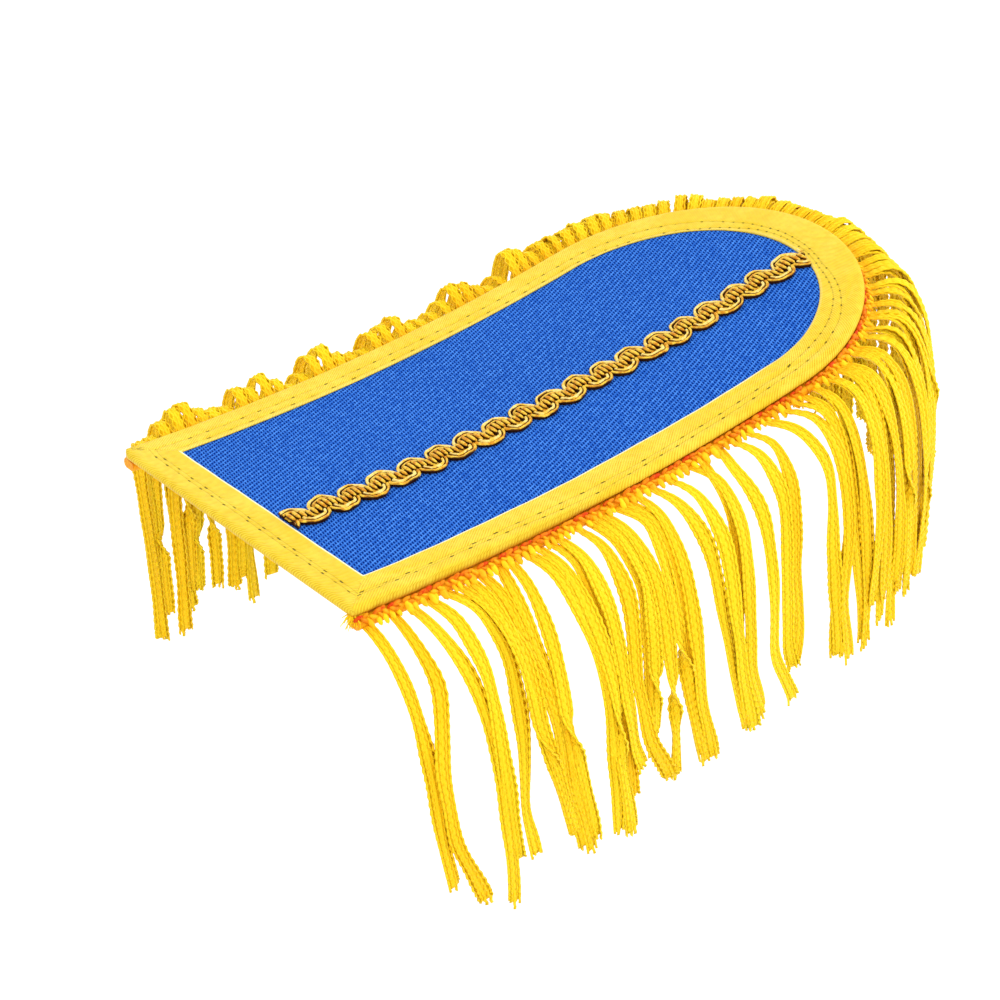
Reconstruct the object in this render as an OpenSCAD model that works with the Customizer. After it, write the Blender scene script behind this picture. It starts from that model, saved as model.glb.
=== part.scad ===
// Dress epaulette: a stiff tongue-shaped board covered in woven cloth, bound all
// round with folded tape, trimmed along its length with a scalloped gimp braid,
// and hung with a loose yarn fringe on both long sides and round the tip.
// The origin is the middle of the board's underside, where it is pinned on.
// +X runs from the square end to the round tip, and +Z is up, as the fringe hangs.

/* [Board] */
// Length over the binding, measured flat from above
board_l = 144; // [110:1:180]
// Width over the binding
board_w = 76; // [60:1:90]
// Thickness of the cloth-covered board
board_t = 1.2; // [1:0.1:3]
// Radius of the upward bend along the length, at the board's top face
bend_r = 480; // [300:10:1200]

/* [Binding] */
// Width of the folded tape on each face
binding_w = 8.6; // [6:0.1:12]
// Thickness of one layer of the folded tape
binding_t = 0.6; // [0.5:0.1:1.4]

/* [Gimp braid] */
// Width of the braid over its scallops
gimp_w = 7; // [4:0.1:9]
// Thickness of the braid
gimp_t = 1.3; // [1:0.1:2]
// Length of one scallop
gimp_pitch = 6.7; // [5:0.1:9]
// How far the braid lies towards the near side of the centre line
gimp_shift = 5.7; // [0:0.1:10]

/* [Fringe] */
// Height of the longest lock, from the header to its tip
fringe_drop = 54; // [30:1:80]
// How far the locks at the near corner stand out from the header
fringe_reach = 22; // [8:1:30]
// Number of locks on each of the three runs
lock_count = 24; // [12:1:28]
// Thickness of a lock across the curtain
lock_t = 2; // [1.2:0.1:2.2]
// Space between two neighbouring locks at the header
lock_gap = 0.7; // [0.5:0.1:1.2]
// Height of the chain-stitched header that the locks hang from
header_h = 2; // [1.8:0.1:3]
// Width of the header under the binding
header_w = 3.6; // [2.6:0.1:5]
// How far the header shows beyond the binding's edge
header_out = 0.9; // [0.4:0.1:1.6]

/* [Pin] */
// Length of the pin's backing strip
pin_l = 40; // [25:1:60]
// Width of the backing strip
pin_w = 5; // [3:0.1:8]
// Thickness of the backing strip and of its two end posts
pin_t = 1; // [0.8:0.1:1.5]
// Diameter of the straight pin wire
pin_wire_d = 1.2; // [0.8:0.1:2]
// Free height between the strip and the wire
pin_rise = 2.6; // [2:0.1:4]

/* [Hidden] */
// Clearance between two pieces that lie on each other
seam_gap = 0.1;
// Sides of the large circles, of the plan's round end and of the small wire
bend_fn = 720;
round_fn = 144;
small_fn = 48;
// Height of the upright prisms that cut the bent layers, above and below zero
cut_h = board_l;

// Plan of the tongue: the round end's centre and the binding's inner edge
round_r = board_w / 2;
round_x = board_l / 2 - round_r;
straight_l = board_l - round_r;
arc_l = PI * round_r;

// The bend is level at the binding's inner edge of the square end
bend_x = binding_w - board_l / 2;
under_r = bend_r + board_t;
bend_z = sqrt(under_r ^ 2 - bend_x ^ 2);
mid_slope = asin(-bend_x / under_r);

// Radii of the layers, counted from the centre of the bend above the board
binding_top_r = bend_r - seam_gap - binding_t;
pocket_top_r = bend_r - seam_gap;
pocket_under_r = under_r + seam_gap;
binding_under_r = under_r + seam_gap + binding_t;
header_top_r = binding_under_r + seam_gap;
header_under_r = header_top_r + header_h;

// How the fringe hangs, by the share of the run from the near corner round the
// tip to the far corner. reach, lean and lift are shares of fringe_reach: how far
// a lock ends outwards and along the edge, and how high it arches first. drop is
// a share of fringe_drop. A larger arch turns the lock down sooner.
AT = 0;
REACH = 1;
LEAN = 2;
LIFT = 3;
DROP = 4;
ARCH = 5;
HANG = [
    [0.00, 0.96, 0.28, 0.02, 0.96, 2.0],
    [0.10, 1.00, 0.24, 0.02, 0.98, 2.1],
    [0.18, 0.92, 0.18, 0.04, 0.92, 2.3],
    [0.26, 0.78, 0.10, 0.07, 1.00, 2.7],
    [0.33, 0.70, 0.02, 0.13, 0.97, 3.2],
    [0.42, 0.70, 0.00, 0.22, 1.00, 3.6],
    [0.60, 0.70, 0.00, 0.30, 0.97, 3.6],
    [0.72, 0.66, 0.00, 0.32, 0.95, 3.4],
    [1.00, 0.62, 0.00, 0.29, 0.93, 3.4],
];
function hang(column, at) = lookup(at, [for (row = HANG) [row[AT], row[column]]]);

// Shares along a lock at which its section is drawn, from the header to the tip
LOCK_AT = [0, 0.05, 0.13, 0.24, 0.38, 0.56, 0.78, 1];
// Share of the lock's width and thickness at the header, at half length and at the tip
LOCK_WIDTH = [[0, 1], [0.3, 0.86], [0.78, 0.8], [1, 0.5]];
LOCK_DEPTH = [[0, 0.75], [0.13, 1], [0.78, 1], [1, 0.6]];
LOCK_SIDES = 6;
// Share of a lock's length at which its arch is highest
PEAK = 0.25;
// Depth of the lock's root inside the header, beyond the binding's edge line
root_in = 0.6;
// Height of the root in the header, as a share of the header's height from its top
root_at = 0.58;
// How unevenly the locks end, as a share of the drop, and sway, as a share of their pitch
uneven_drop = 0.09;
uneven_sway = 0.3;
hang_seed = 7;

// Scallops of the braid: their radius is a share of its width
scallop_share = 0.34;
scallop_r = gimp_w * scallop_share;
scallop_off = gimp_w / 2 - scallop_r;
scallop_count = floor((board_l - 2 * (binding_w + seam_gap)) / gimp_pitch);

// Plan of the tongue, drawn smaller all round by inset
module tongue(inset) {
    translate([-board_l / 2 + inset, -round_r + inset])
        square([straight_l - inset, board_w - 2 * inset]);
    translate([round_x, 0])
        circle(r = round_r - inset, $fn = round_fn);
}

// A bent layer between two radii, cut upright to the plan given as its child
module bent_layer(top_r, low_r) {
    intersection() {
        translate([bend_x, board_w, bend_z])
            rotate([90, 0, 0])
                difference() {
                    cylinder(r = low_r, h = 2 * board_w, $fn = bend_fn);
                    translate([0, 0, -1])
                        cylinder(r = top_r, h = 2 * board_w + 2, $fn = bend_fn);
                }
        translate([0, 0, -cut_h])
            linear_extrude(2 * cut_h)
                children();
    }
}

module board() {
    color([0.1, 0.32, 0.82])
        bent_layer(bend_r, under_r)
            tongue(binding_t + seam_gap);
}

// Folded tape: a shell over the board's edge, open over the middle of both faces
module binding() {
    color([0.98, 0.82, 0.2])
        difference() {
            bent_layer(binding_top_r, binding_under_r)
                tongue(0);
            bent_layer(pocket_top_r, pocket_under_r)
                tongue(binding_t);
            translate([0, 0, -cut_h])
                linear_extrude(2 * cut_h)
                    tongue(binding_w);
        }
}

// Braid with round scallops on both edges, those of one edge half a pitch along,
// cut to the opening of the binding
module gimp_plan() {
    intersection() {
        tongue(binding_w + seam_gap);
        translate([-board_l / 2, -gimp_shift]) {
            translate([0, -scallop_off])
                square([board_l, 2 * scallop_off]);
            for (i = [0:scallop_count + 1], side = [-1, 1])
                translate([binding_w + (i + side / 4) * gimp_pitch, side * scallop_off])
                    circle(r = scallop_r, $fn = small_fn);
        }
    }
}

module gimp_braid() {
    color([0.82, 0.62, 0.16])
        bent_layer(bend_r - seam_gap - gimp_t, bend_r - seam_gap)
            gimp_plan();
}

// Place on the binding's edge, and the direction outwards there, at a distance
// along the run from the near corner of the square end
function arc_turn(s) = (s - straight_l) / round_r * 180 / PI;
function edge_out(s) =
    s <= straight_l ? [0, -1] :
    s >= straight_l + arc_l ? [0, 1] :
    [sin(arc_turn(s)), -cos(arc_turn(s))];
function edge_place(s) =
    s <= straight_l ? [s - board_l / 2, -round_r] :
    s >= straight_l + arc_l ? [round_x - (s - straight_l - arc_l), round_r] :
    [round_x, 0] + round_r * edge_out(s);
function bent_z(x, r) = bend_z - sqrt(r ^ 2 - (x - bend_x) ^ 2);

// Centre line of a lock at share t: how far out, along the edge and down it is
function lock_out(at, t) = fringe_reach * hang(REACH, at) * (1 - (1 - t) ^ hang(ARCH, at));
function lock_rise(at, t) = fringe_reach * hang(LIFT, at) * (t / PEAK) ^ 2 * ((1 - t) / (1 - PEAK)) ^ 6;
function lock_fall(at, t, longer) = fringe_drop * hang(DROP, at) * (1 + longer) * t ^ 1.6;
function lock_along(at, t, sway) = (fringe_reach * hang(LEAN, at) + sway) * t ^ 1.3;

// One lock: six-sided sections strung along its centre line, thickness across
// the way it points and width along the edge. Round the tip, where fan is 1, the
// locks widen as they spread, so that the curtain stays closed.
module lock(s, at, width, longer, sway, fan) {
    out = edge_out(s);
    along = [-out[1], out[0]];
    foot = edge_place(s);
    foot_z = bent_z(foot[0], header_top_r + root_at * header_h);
    line = [for (t = LOCK_AT) [
        lock_out(at, t) - root_in,
        lock_rise(at, t) - lock_fall(at, t, longer),
        lock_along(at, t, sway)
    ]];
    last = len(LOCK_AT) - 1;
    rings = [for (i = [0:last])
        let (
            before = line[max(i - 1, 0)],
            after = line[min(i + 1, last)],
            way = [after[0] - before[0], after[1] - before[1]],
            across = [-way[1], way[0]] / norm(way),
            spread = 1 + fan * max(0, line[i][0]) / round_r,
            half_w = width / 2 * lookup(LOCK_AT[i], LOCK_WIDTH) * spread,
            half_t = lock_t / 2 * lookup(LOCK_AT[i], LOCK_DEPTH)
        )
        for (k = [0:LOCK_SIDES - 1])
            let (
                a = k * 360 / LOCK_SIDES,
                o = line[i][0] + half_t * sin(a) * across[0],
                h = line[i][1] + half_t * sin(a) * across[1],
                w = line[i][2] + half_w * cos(a),
                p = foot + o * out + w * along
            )
            [p[0], p[1], foot_z + h]
    ];
    sides = [for (i = [0:last - 1], k = [0:LOCK_SIDES - 1])
        let (a = i * LOCK_SIDES + k, b = i * LOCK_SIDES + (k + 1) % LOCK_SIDES)
        [a, a + LOCK_SIDES, b + LOCK_SIDES, b]
    ];
    caps = [
        [for (k = [0:LOCK_SIDES - 1]) k],
        [for (k = [LOCK_SIDES - 1:-1:0]) last * LOCK_SIDES + k]
    ];
    polyhedron(points = rings, faces = concat(caps, sides), convexity = 4);
}

// The header under one run of the edge, drawn by its plan given as the child,
// with the run's locks fused to it. The run's number makes its own unevenness.
module fringe_run(run, from, to, fan = 0) {
    run_l = straight_l * 2 + arc_l;
    pitch = (to - from) / lock_count;
    uneven = rands(-1, 1, 2 * lock_count, hang_seed + run);
    longer = [for (i = [0:lock_count - 1]) (uneven[i] - 1) / 2 * uneven_drop];
    sway = [for (i = [0:lock_count - 1]) uneven[lock_count + i] * uneven_sway];
    color([1, 0.84, 0.08])
        union() {
            bent_layer(header_top_r, header_under_r)
                children();
            for (i = [0:lock_count - 1])
                let (s = from + (i + 0.5) * pitch)
                    lock(s, s / run_l, pitch - lock_gap, longer[i], sway[i] * pitch, fan);
        }
}

// Plan of the header along the near edge (side -1) or the far edge (side 1)
module side_header(side) {
    translate([-board_l / 2 + lock_gap, side * (round_r + header_out - header_w / 2) - header_w / 2])
        square([straight_l - lock_gap - seam_gap, header_w]);
}

module fringe_near() {
    fringe_run(0, 0, straight_l)
        side_header(-1);
}

module fringe_far() {
    fringe_run(2, straight_l + arc_l, 2 * straight_l + arc_l)
        side_header(1);
}

module fringe_tip() {
    fringe_run(1, straight_l, straight_l + arc_l, fan = 1)
        difference() {
            tongue(-header_out);
            tongue(header_w - header_out);
            translate([seam_gap - board_l + round_x, -board_w])
                square([board_l, 2 * board_w]);
        }
}

// Plain brooch pin on the underside: a flat strip that touches down at its middle,
// where the board's bend comes nearest, two end posts and a straight wire
module pin() {
    color([0.75, 0.76, 0.78])
        rotate([0, -mid_slope, 0])
            translate([0, 0, -seam_gap]) {
                translate([-pin_l / 2, -pin_w / 2, -pin_t])
                    cube([pin_l, pin_w, pin_t]);
                for (side = [-1, 1])
                    translate([side * (pin_l - pin_t) / 2, 0, -pin_t - (pin_rise + pin_wire_d) / 2])
                        cube([pin_t, 2 * pin_wire_d, pin_rise + pin_wire_d], center = true);
                translate([-pin_l / 2, 0, -pin_t - pin_rise - pin_wire_d / 2])
                    rotate([0, 90, 0])
                        cylinder(d = pin_wire_d, h = pin_l, $fn = small_fn);
            }
}

board();
binding();
gimp_braid();
fringe_near();
fringe_tip();
fringe_far();
pin();
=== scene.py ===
# %% [markdown]
# # A fringed dress epaulette
#
# A stiff, tongue-shaped board is covered in blue canvas, bound all round with folded
# yellow tape, trimmed with a gold gimp braid and hung with a fringe of knitted yarn.
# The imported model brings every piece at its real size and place. This lesson dresses
# it: it starts from the model as a fixed frame, whose parts are never moved.

# %% The frame
import math
import random

import bpy
import numpy as np
from mathutils import Matrix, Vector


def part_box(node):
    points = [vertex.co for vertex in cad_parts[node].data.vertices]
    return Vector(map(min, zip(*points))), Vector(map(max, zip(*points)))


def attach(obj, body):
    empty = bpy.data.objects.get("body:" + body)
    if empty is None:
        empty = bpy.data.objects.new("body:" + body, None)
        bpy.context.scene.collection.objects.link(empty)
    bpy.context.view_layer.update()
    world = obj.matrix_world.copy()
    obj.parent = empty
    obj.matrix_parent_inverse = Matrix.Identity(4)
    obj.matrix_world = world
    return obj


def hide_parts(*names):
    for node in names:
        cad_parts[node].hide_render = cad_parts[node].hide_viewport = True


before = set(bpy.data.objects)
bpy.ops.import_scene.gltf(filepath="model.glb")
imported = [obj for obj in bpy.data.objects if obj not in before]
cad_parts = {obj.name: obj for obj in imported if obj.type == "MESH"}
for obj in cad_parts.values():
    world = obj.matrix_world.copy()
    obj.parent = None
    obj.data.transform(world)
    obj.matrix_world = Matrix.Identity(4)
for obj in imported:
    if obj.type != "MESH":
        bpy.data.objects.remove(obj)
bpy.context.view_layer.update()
print("nodes:", sorted(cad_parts))

# %% [markdown]
# The camera comes first. It could be aimed by eye, but here its place and its three
# directions were worked out from the outline of the cloth, so that each piece falls
# where the photograph has it. The lens follows from the same fit.

# %% The camera
VIEW_PLACE = (-0.2622, -0.3266, 0.2121)
VIEW_RIGHT = np.array((0.78486, -0.61932, -0.02101))
VIEW_UP = np.array((0.31816, 0.37364, 0.87130))
LENS = 86.77

view_back = np.cross(VIEW_RIGHT, VIEW_UP)
camera_data = bpy.data.cameras.new("camera")
camera_data.lens = LENS
camera = bpy.data.objects.new("camera", camera_data)
bpy.context.scene.collection.objects.link(camera)
camera.matrix_world = Matrix([
    (VIEW_RIGHT[i], VIEW_UP[i], view_back[i], VIEW_PLACE[i]) for i in range(3)
] + [(0, 0, 0, 1)])
bpy.context.scene.camera = camera
bpy.context.scene.view_settings.view_transform = "Standard"
print("camera looks from", VIEW_PLACE)

# %% [markdown]
# Every piece is laid on the same bent board. It could be bent with a modifier, but a
# formula gives the exact seat: a piece is modelled flat, with its height counted from
# the board's top face, and each of its points is then lifted to the bend.

# %% The board's plan and bend
MM = 0.001
tape_low, tape_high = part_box("binding")
LENGTH = tape_high[0] - tape_low[0]
WIDTH = tape_high[1] - tape_low[1]
TAPE_W = 8.6 * MM
TAPE_T = 0.6 * MM
SEAM = 0.1 * MM
BOARD_T = 1.2 * MM
BEND_R = 480 * MM

SQUARE_X = -LENGTH / 2
ROUND_R = WIDTH / 2
ROUND_X = LENGTH / 2 - ROUND_R
STRAIGHT_L = LENGTH - ROUND_R
ARC_L = math.pi * ROUND_R
RUN_L = 2 * STRAIGHT_L + ARC_L
BEND_X = SQUARE_X + TAPE_W
BEND_Z = math.sqrt((BEND_R + BOARD_T) ** 2 - BEND_X ** 2)


def bent_z(x, height):
    """The height in the frame of a point at x, at that height over the board's top face."""
    return BEND_Z - np.sqrt((BEND_R - height) ** 2 - (x - BEND_X) ** 2)


print(f"plan {LENGTH / MM:.1f} x {WIDTH / MM:.1f} mm, fringed edge {RUN_L / MM:.1f} mm")


# %% Helpers for work at the bench
def take(*pieces):
    """Selects these pieces alone, the first one active."""
    bpy.ops.object.select_all(action="DESELECT")
    for piece in pieces:
        piece.select_set(True)
    bpy.context.view_layer.objects.active = pieces[0]


def points_of(piece):
    """The piece's points as rows of x, y and z."""
    points = np.empty(len(piece.data.vertices) * 3)
    piece.data.vertices.foreach_get("co", points)
    return points.reshape(-1, 3)


def move_points(piece, points):
    """Puts the piece's points in these places."""
    piece.data.vertices.foreach_set("co", np.ascontiguousarray(points, dtype=float).ravel())
    piece.data.update()


def lay_on_bend(piece):
    """Lifts a piece that was modelled flat on to the bent board."""
    points = points_of(piece)
    points[:, 2] = bent_z(points[:, 0], points[:, 2])
    move_points(piece, points)


def started(name):
    """The primitive that was just added, renamed, with its turn and size in its mesh."""
    piece = bpy.context.object
    piece.name = name
    piece.data.name = name
    bpy.ops.object.transform_apply(location=True, rotation=True, scale=True)
    return piece


def joined(name, pieces):
    """Several pieces made one."""
    take(*pieces)
    if len(pieces) > 1:
        bpy.ops.object.join()
    piece = bpy.context.object
    piece.name = name
    piece.data.name = name
    return piece


def arrayed(piece, count, step):
    """The piece repeated along a step, its copies merged where they meet."""
    take(piece)
    array = piece.modifiers.new("row", "ARRAY")
    array.count = count
    array.use_relative_offset = False
    array.use_constant_offset = True
    array.constant_offset_displace = step
    array.use_merge_vertices = True
    array.merge_threshold = 0.001 * MM
    bpy.ops.object.modifier_apply(modifier="row")
    return piece


def smooth(piece, angle=math.radians(60)):
    """Shades the piece smooth but for its sharp folds."""
    take(piece)
    bpy.ops.object.shade_smooth_by_angle(angle=angle)


def copies_of(pattern, name, places):
    """One mesh of many copies of a pattern, each put in place by a 4 x 4 matrix."""
    points = np.c_[points_of(pattern), np.ones(len(pattern.data.vertices))]
    faces = [tuple(face.vertices) for face in pattern.data.polygons]
    moved = [(points @ np.array(place).T)[:, :3] for place in places]
    shifts = [i * len(points) for i in range(len(moved))]
    mesh = bpy.data.meshes.new(name)
    mesh.from_pydata(
        np.concatenate(moved).tolist(), [],
        [tuple(v + shift for v in face) for shift in shifts for face in faces],
    )
    piece = bpy.data.objects.new(name, mesh)
    bpy.context.scene.collection.objects.link(piece)
    bpy.data.objects.remove(pattern)
    return piece


def placed(place, along, out, size=(1, 1, 1)):
    """A matrix that puts a pattern's x along, its y out and its z square to both."""
    along = np.array(along) / np.linalg.norm(along)
    up = np.cross(along, out)
    up = up / np.linalg.norm(up)
    out = np.cross(up, along)
    matrix = np.eye(4)
    matrix[:3, 0] = along * size[0]
    matrix[:3, 1] = out * size[1]
    matrix[:3, 2] = up * size[2]
    matrix[:3, 3] = place
    return matrix


def triangles(piece):
    """How many triangles the piece has."""
    return sum(len(face.vertices) - 2 for face in piece.data.polygons)


def finish_piece(piece, material):
    """Gives the piece its finish and its place on the body."""
    piece.data.materials.clear()
    piece.data.materials.append(material)
    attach(piece, "root")
    print(piece.name, triangles(piece), "triangles")


# %% [markdown]
# Finishes are wired from a few small nodes. Each helper below adds one and hands back
# its socket, so that a finish reads as a recipe: where the pattern lies, how it
# repeats, which two colours it mixes, the thing's own or painted light and shade, and
# how deep it is pressed.

# %% Helpers for finishes
def finish(name, roughness, specular=0.3, gloss=(1, 1, 1)):
    """A new material with its shader's plain values set, gloss being its shine's colour."""
    material = bpy.data.materials.new(name)
    material.use_nodes = True
    shader = material.node_tree.nodes["Principled BSDF"]
    shader.inputs["Roughness"].default_value = roughness
    shader.inputs["Specular IOR Level"].default_value = specular
    shader.inputs["Specular Tint"].default_value = (*gloss, 1)
    return material, material.node_tree, shader


def fill(tree, socket, value):
    """Links a socket to a socket, or sets it to a plain value."""
    if isinstance(value, bpy.types.NodeSocket):
        tree.links.new(value, socket)
    elif value is not None:
        socket.default_value = value


def calc(tree, operation, *values):
    """A sum on one to three values."""
    node = tree.nodes.new("ShaderNodeMath")
    node.operation = operation
    for socket, value in zip(node.inputs, values):
        fill(tree, socket, value)
    return node.outputs[0]


def place_on(tree, layer=None):
    """The x, y and z of the point being shaded, on the object or on its own UV layer."""
    if layer:
        source = tree.nodes.new("ShaderNodeUVMap")
        source.uv_map = layer
        place = source.outputs["UV"]
    else:
        place = tree.nodes.new("ShaderNodeTexCoord").outputs["Object"]
    split = tree.nodes.new("ShaderNodeSeparateXYZ")
    tree.links.new(place, split.inputs[0])
    return place, split.outputs[0], split.outputs[1], split.outputs[2]


def patchy(tree, place, size, detail=2.0):
    """Soft noise from 0 to 1, with patches of about that size."""
    node = tree.nodes.new("ShaderNodeTexNoise")
    tree.links.new(place, node.inputs["Vector"])
    node.inputs["Scale"].default_value = 1 / size
    node.inputs["Detail"].default_value = detail
    return node.outputs["Fac"]


def wave(tree, turns):
    """A smooth wave from 0 to 1 that is 1 wherever turns is a whole number."""
    angle = calc(tree, "MULTIPLY", turns, 2 * math.pi)
    return calc(tree, "MULTIPLY_ADD", calc(tree, "COSINE", angle), 0.5, 0.5)


def ramp(tree, value, low, high, low_out=0.0, high_out=1.0):
    """Maps low to low_out and high to high_out, held beyond them."""
    node = tree.nodes.new("ShaderNodeMapRange")
    node.interpolation_type = "SMOOTHSTEP"
    fill(tree, node.inputs["Value"], value)
    node.inputs["From Min"].default_value = low
    node.inputs["From Max"].default_value = high
    node.inputs["To Min"].default_value = low_out
    node.inputs["To Max"].default_value = high_out
    return node.outputs[0]


def mix_colours(tree, share, first, second):
    """Mixes the second colour over the first by the share."""
    node = tree.nodes.new("ShaderNodeMix")
    node.data_type = "RGBA"
    fill(tree, node.inputs[0], share)
    for socket, colour in ((node.inputs[6], first), (node.inputs[7], second)):
        fill(tree, socket, colour if isinstance(colour, bpy.types.NodeSocket) else (*colour, 1))
    return node.outputs[2]


def press(tree, shader, height, depth):
    """Turns a height into relief of that depth in metres."""
    bump = tree.nodes.new("ShaderNodeBump")
    bump.inputs["Distance"].default_value = depth
    tree.links.new(height, bump.inputs["Height"])
    tree.links.new(bump.outputs[0], shader.inputs["Normal"])


# %% [markdown]
# The canvas is woven of blue yarn and cut on the bias. Its main threads run 21
# degrees off the board's length, 1 mm apart. The finer ones cross them steeply,
# 0.57 mm apart, and leave a slanting hole in each cell. A printed weave would look
# flat, so the cloth is made as relief: one point stands on each thread, between two
# threads and in each hole. The colour follows the same two waves: a painted highlight
# on the threads' tops and painted shade in the holes, over patches of two blues.

# %% The canvas finish
MAIN_WAVE = np.array((0.354, -0.932)) / MM
CROSS_WAVE = np.array((1.708, -0.371)) / MM


def turns_of(tree, x, y, wave_of):
    """How many threads of one set lie between the origin and this point."""
    return calc(tree, "MULTIPLY_ADD", x, wave_of[0], calc(tree, "MULTIPLY", y, wave_of[1]))


def canvas_finish():
    material, tree, shader = finish("blue_canvas", 0.8, specular=0.05, gloss=(0.1, 0.4, 1.0))
    place, x, y, _ = place_on(tree)
    wander = calc(tree, "MULTIPLY_ADD", patchy(tree, place, 5 * MM), 0.24, -0.12)
    main = calc(tree, "ADD", turns_of(tree, x, y, MAIN_WAVE), wander)
    cross = calc(tree, "ADD", turns_of(tree, x, y, CROSS_WAVE), wander)
    slub = ramp(tree, patchy(tree, place, 0.7 * MM), 0.35, 0.7, 0.25, 1.0)
    hole = calc(tree, "MULTIPLY", wave(tree, calc(tree, "ADD", main, 0.5)),
                wave(tree, calc(tree, "ADD", cross, 0.5)))
    crossing = calc(tree, "MAXIMUM", calc(tree, "MULTIPLY", wave(tree, main), 0.94), wave(tree, cross))
    # Painted highlight on the tops of the threads, patchy where the yarn slubs.
    thread = calc(tree, "MULTIPLY", ramp(tree, crossing, 0.60, 0.98), slub)
    body = mix_colours(tree, patchy(tree, place, 25 * MM), (0.003, 0.058, 0.37), (0.006, 0.079, 0.46))
    lit = mix_colours(tree, calc(tree, "MULTIPLY", thread, 0.9), body, (0.082, 0.29, 0.84))
    # Painted shade in the hole of each cell, mixed in as a near-black blue.
    shade = ramp(tree, hole, 0.26, 0.68)
    colour = mix_colours(tree, calc(tree, "MULTIPLY", shade, 0.95), lit, (0.0005, 0.014, 0.16))
    tree.links.new(colour, shader.inputs["Base Color"])
    relief = calc(tree, "SUBTRACT", crossing, calc(tree, "MULTIPLY", hole, 1.5))
    press(tree, shader, relief, 0.07 * MM)
    return material


blue_canvas = canvas_finish()
print("finish:", blue_canvas.name)

# %% [markdown]
# The board itself keeps its packed form and takes the canvas finish on its sides and
# underside. Over its top lies the woven cloth as a sheet of its own. A grid is added
# with one step for half a thread, slanted to the two thread directions, and trimmed
# to the tongue by bisecting it along its three straight edges and round the end.

# %% The canvas laid on the board
CANVAS_INSET = 4 * MM
CANVAS_LOW = 0.03 * MM
WEAVE_RISE = 0.20 * MM
ROUND_CUTS = 28


def woven_grid():
    threads = np.array([MAIN_WAVE, CROSS_WAVE])
    corner = np.array([(x * LENGTH / 2, y * WIDTH / 2) for x in (-1, 1) for y in (-1, 1)])
    count = np.ceil(2 * np.abs(corner @ threads.T).max(axis=0)).astype(int)
    bpy.ops.mesh.primitive_grid_add(
        x_subdivisions=2 * count[0], y_subdivisions=2 * count[1], size=2)
    cloth = started("canvas")
    points = points_of(cloth)
    half_turns = np.round(points[:, :2] * count)
    points[:, :2] = half_turns / 2 @ np.linalg.inv(threads).T
    move_points(cloth, points)
    return cloth


def trim_to_tongue(piece, inset, closed=False):
    """Cuts a piece to the board's plan, smaller all round by inset, and closes the cuts."""
    cuts = [((SQUARE_X + inset, 0, 0), (-1, 0, 0))]
    for k in range(ROUND_CUTS + 1):
        turn = -math.pi / 2 + math.pi * k / ROUND_CUTS
        way = np.array((math.cos(turn), math.sin(turn), 0))
        cuts.append(((ROUND_X, 0, 0) + (ROUND_R - inset) * way, way))
    take(piece)
    bpy.ops.object.mode_set(mode="EDIT")
    for place, way in cuts:
        bpy.ops.mesh.select_all(action="SELECT")
        bpy.ops.mesh.bisect(plane_co=place, plane_no=way, clear_outer=True, use_fill=closed)
    bpy.ops.object.mode_set(mode="OBJECT")


def inside_edge(x, y):
    """How far a point of the plan lies inside the board's outline."""
    side = ROUND_R - np.abs(y)
    tip = ROUND_R - np.hypot(x - ROUND_X, y)
    return np.minimum(np.where(x > ROUND_X, tip, side), x - SQUARE_X)


def raise_weave(cloth):
    points = points_of(cloth)
    main, cross = (np.cos(2 * np.pi * points[:, :2] @ way) for way in (MAIN_WAVE, CROSS_WAVE))
    high = 0.55 + 0.12 * main + 0.18 * cross + 0.10 * (main * cross) - 0.25 * (main < 0) * (cross < 0)
    under_tape = np.clip((inside_edge(points[:, 0], points[:, 1]) - TAPE_W) / MM, 0.1, 1)
    points[:, 2] = CANVAS_LOW + WEAVE_RISE * high * under_tape
    move_points(cloth, points)


canvas = woven_grid()
trim_to_tongue(canvas, CANVAS_INSET)
raise_weave(canvas)
lay_on_bend(canvas)
smooth(canvas, math.radians(180))
finish_piece(canvas, blue_canvas)
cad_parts["board"].data.materials.clear()
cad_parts["board"].data.materials.append(blue_canvas)

# %% [markdown]
# The binding is a satin-faced tape with fine slanting ribs. Two rows of stitches hold
# it: a shallow groove, with painted shade in each stitch's needle hole and faintly
# along the row. One UV layer is measured in millimetres along the edge and across the
# tape from the outer fold, so the ribs follow the tape round the tip. Each row has a
# layer of its own: how far a point lies off the row, and how many stitches come before it.

# %% The tape finish
RIB_PITCH = 0.45
RIB_WAY = (0.643, -0.766)
INNER_FOLD = 8.2


def needle_row_shade(tree, layer):
    """Painted shade where a stitch of one row goes down into its needle hole, and faint painted shade along the
    row between stitches.
    """
    place, off, turns, _ = place_on(tree, layer)
    off = calc(tree, "ABSOLUTE", off)
    skipped = ramp(tree, patchy(tree, place, 0.9), 0.40, 0.52, 0.25, 1.0)
    on_line = ramp(tree, off, 0.03, 0.15, 1.0, 0.0)
    near = ramp(tree, off, 0.08, 0.22, 1.0, 0.0)
    needle_hole_shade = calc(tree, "MULTIPLY", ramp(tree, wave(tree, turns), 0.87, 0.95), skipped)
    return calc(tree, "MAXIMUM", calc(tree, "MULTIPLY", on_line, 0.25),
                calc(tree, "MULTIPLY", near, needle_hole_shade))


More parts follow.
